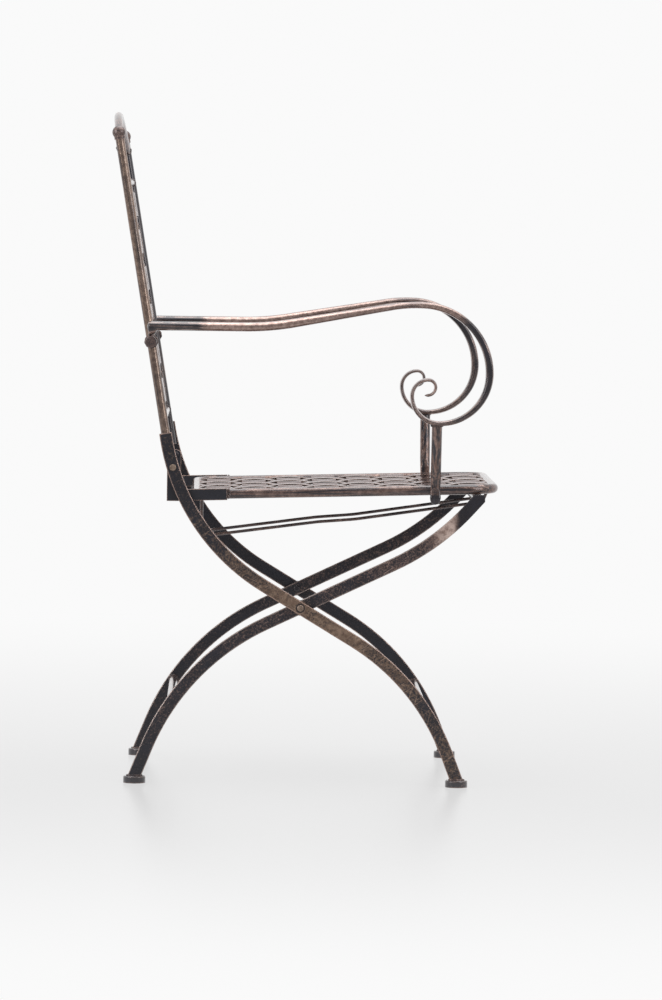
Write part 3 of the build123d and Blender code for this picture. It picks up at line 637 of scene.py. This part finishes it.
def makeWorld():  # the camera sees the backdrop, reflections a dimmer front, and the light is softer
    world = bpy.data.worlds.new("studioWorld")
    bpy.context.scene.world = world
    tree = emptyTree(world)
    way = axesOf(tree, tree.nodes.new("ShaderNodeTexCoord").outputs["Generated"])
    room, seen = roomSeen(tree, spread(tree, way["Y"], *studio["frontFade"]))
    shown = putNode(tree, "ShaderNodeBackground", {"Color": room, "Strength": 1.0})
    lit = putNode(tree, "ShaderNodeBackground", {"Color": (1, 1, 1, 1), "Strength": studio["worldLight"]})
    mixed = putNode(tree, "ShaderNodeMixShader", {0: seen, 1: lit.outputs[0], 2: shown.outputs[0]})
    putNode(tree, "ShaderNodeOutputWorld", {"Surface": mixed.outputs[0]})


def makeFloor():  # a pale floor that keeps the shadow, and fades into the backdrop on either side
    half = studio["floorHalf"]
    mesh = bpy.data.meshes.new("studioFloor")
    corners = [(-half, -half, 0), (half, -half, 0), (half, half, 0), (-half, half, 0)]
    mesh.from_pydata(corners, [], [(0, 1, 2, 3)])
    floor = bpy.data.objects.new("studioFloor", mesh)
    bpy.context.scene.collection.objects.link(floor)
    material = bpy.data.materials.new("studioFloor")
    tree = emptyTree(material)
    depth = axesOf(tree, tree.nodes.new("ShaderNodeTexCoord").outputs["Object"])["Y"]
    toward = spread(tree, depth, *studio["floorNear"])
    fade = reckon(tree, "ADD", spread(tree, depth, *studio["floorFar"]), toward, True)
    fade = reckon(tree, "MULTIPLY", fade, 1.0 - studio["floorPale"])
    fade = reckon(tree, "ADD", fade, studio["floorPale"])
    room, seen = roomSeen(tree, toward)
    plain = putNode(tree, "ShaderNodeBsdfPrincipled", {
        "Base Color": (*studio["floorColour"], 1), "Roughness": studio["floorGloss"],
        "Specular IOR Level": studio["floorShine"],
    })
    far = putNode(tree, "ShaderNodeEmission", {"Color": room, "Strength": 1.0})
    share = reckon(tree, "MULTIPLY", fade, seen)
    mixed = putNode(tree, "ShaderNodeMixShader", {0: share, 1: plain.outputs[0], 2: far.outputs[0]})
    putNode(tree, "ShaderNodeOutputMaterial", {"Surface": mixed.outputs[0]})
    mesh.materials.append(material)


lamps = {  # place, aim, width and height in metres, watts
    "overhead": ((0.2, 0.3, 3.2), (0, 0, 0.4), (3.0, 3.0), 70),
    "leftBox": ((-2.6, -1.8, 1.7), (0, 0, 0.5), (1.6, 2.2), 40),
    "rightBox": ((2.6, -2.2, 1.9), (0, 0, 0.5), (1.6, 2.2), 34),
}


def makeLamp(name, spot, aim, size, power):
    data = bpy.data.lights.new(name, "AREA")
    data.shape = "RECTANGLE"
    data.size, data.size_y = size
    data.energy = power
    lamp = bpy.data.objects.new(name, data)
    bpy.context.scene.collection.objects.link(lamp)
    lamp.location = spot
    lamp.rotation_euler = (Vector(aim) - Vector(spot)).to_track_quat("-Z", "Y").to_euler()


makeWorld()
makeFloor()
for name, (spot, aim, size, power) in lamps.items():
    makeLamp(name, spot, aim, size, power)
print("studio lit")


view = {  # fitted to the photograph: metres, degrees, focal length in picture heights, film in millimetres
    "spot": (-0.111, -7.81, 0.8059), "yaw": 1.133, "pitch": 2.987, "roll": 0.789, "focal": 5.33, "film": 24.0,
    "farthest": 200,
}


def makeCamera():  # forward from yaw and pitch, then the right and up arms turned by the roll
    yaw, pitch, roll = (math.radians(view[name]) for name in ("yaw", "pitch", "roll"))
    forward = Vector((math.sin(yaw) * math.cos(pitch), math.cos(yaw) * math.cos(pitch), -math.sin(pitch)))
    level = Vector((math.cos(yaw), -math.sin(yaw), 0))
    upward = level.cross(forward)
    right = level * math.cos(roll) + upward * math.sin(roll)
    up = upward * math.cos(roll) - level * math.sin(roll)
    data = bpy.data.cameras.new("photoCamera")
    data.sensor_fit = "VERTICAL"
    data.sensor_height = view["film"]
    data.lens = view["focal"] * view["film"]
    data.clip_end = view["farthest"]
    camera = bpy.data.objects.new("photoCamera", data)
    bpy.context.scene.collection.objects.link(camera)
    turn = Matrix((right, up, -forward)).transposed().to_4x4()
    camera.matrix_world = Matrix.Translation(view["spot"]) @ turn
    bpy.context.scene.camera = camera


makeCamera()
bpy.context.scene.view_settings.view_transform = "Standard"
print("camera set")
